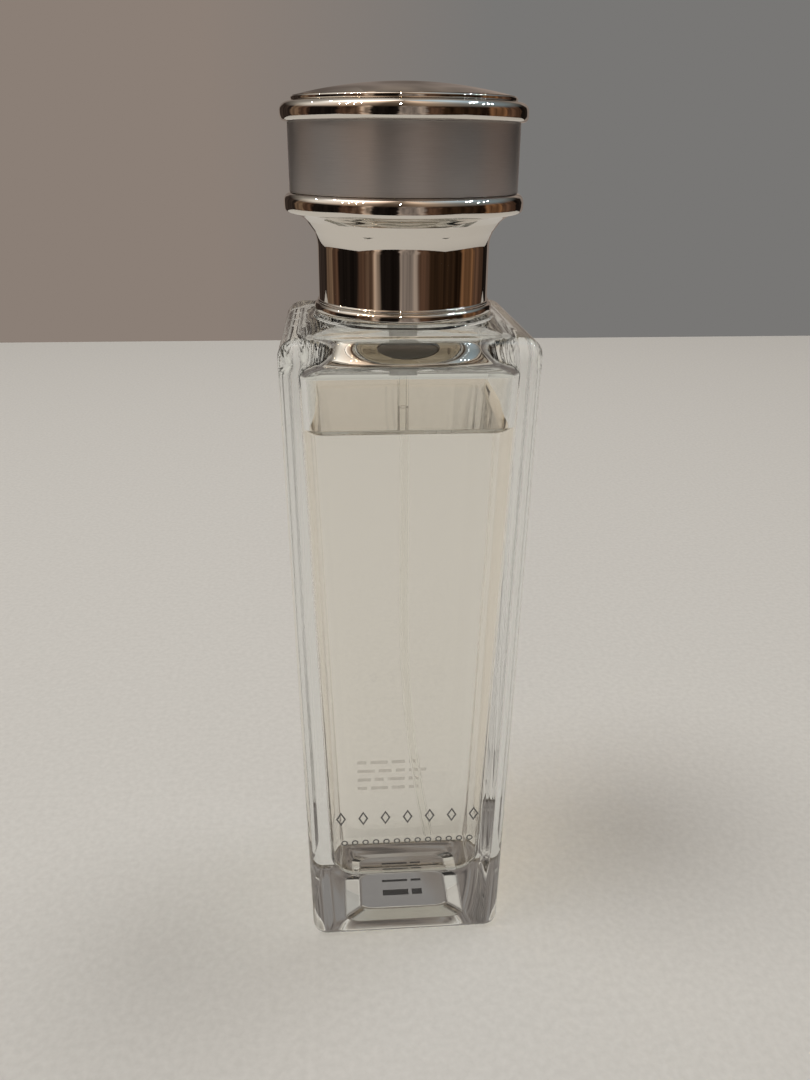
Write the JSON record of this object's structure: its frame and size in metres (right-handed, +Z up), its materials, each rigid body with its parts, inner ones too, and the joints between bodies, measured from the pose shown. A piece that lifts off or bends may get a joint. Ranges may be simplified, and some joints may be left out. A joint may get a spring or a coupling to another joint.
{
  "type": "perfume bottle",
  "caption": "Tall square glass perfume bottle with a crimped spray pump, a turning spray button and a round chrome lift-off cap with a satin band.",
  "frame": {"origin": "middle of the underside, on the surface that the bottle stands on", "axes": "+Z up along the bottle, -Y towards the spray side"},
  "size_m": [0.0324, 0.0324, 0.124],
  "materials": {
    "clear_glass": "clear, thick walled, polished",
    "perfume": "clear pale peach liquid",
    "clear_tube": "translucent natural polyethylene",
    "pump_plastic": "natural white moulded plastic",
    "black_rubber": "smooth",
    "spring_steel": "drawn wire",
    "ferrule_aluminium": "rolled sheet, bright",
    "silver_cover": "bright anodised",
    "cap_chrome": "polished chrome plate, faintly warm",
    "satin_aluminium": "satin, fine turned grain",
    "cap_plastic": "moulded"
  },
  "bodies": {
    "bottle": {"glass_bottle": "clear_glass", "perfume_liquid": "perfume", "dip_tube": "clear_tube", "neck_gasket": "pump_plastic", "pump_housing": "pump_plastic", "stem_seal": "black_rubber", "pump_closure": "pump_plastic", "crimp_ferrule": "ferrule_aluminium", "collar_clip": "cap_plastic", "collar_shell": "silver_cover"},
    "ball": {"check_ball": "spring_steel"},
    "stem": {"pump_stem": "pump_plastic", "pump_piston": "pump_plastic", "return_spring": "spring_steel"},
    "button": {"button_core": "pump_plastic", "spray_insert": "pump_plastic", "button_shell": "silver_cover"},
    "cap": {"cap_skirt": "cap_chrome", "cap_insert": "cap_plastic", "cap_core": "cap_plastic", "satin_band": "satin_aluminium", "cap_rim": "cap_chrome", "cap_disc": "cap_chrome"}
  },
  "joints": [
    {"name": "press", "type": "slide", "parent": "bottle", "child": "stem", "axis": [0, 0, -1], "range_m": [0, 0.0032], "stiffness_N_per_m": 1200, "springref_m": -0.00006, "deforming": ["return_spring"]},
    {"name": "button_turn", "type": "hinge", "parent": "stem", "child": "button", "pos_m": [0, 0, 0.11], "axis": [0, 0, 1], "continuous": true},
    {"name": "ball_lift", "type": "slide", "parent": "bottle", "child": "ball", "axis": [0, 0, 1], "range_m": [0, 0.0005]},
    {"name": "cap_lift", "type": "slide", "parent": "bottle", "child": "cap", "axis": [0, 0, 1], "range_m": [0, 0.035]}
  ]
}
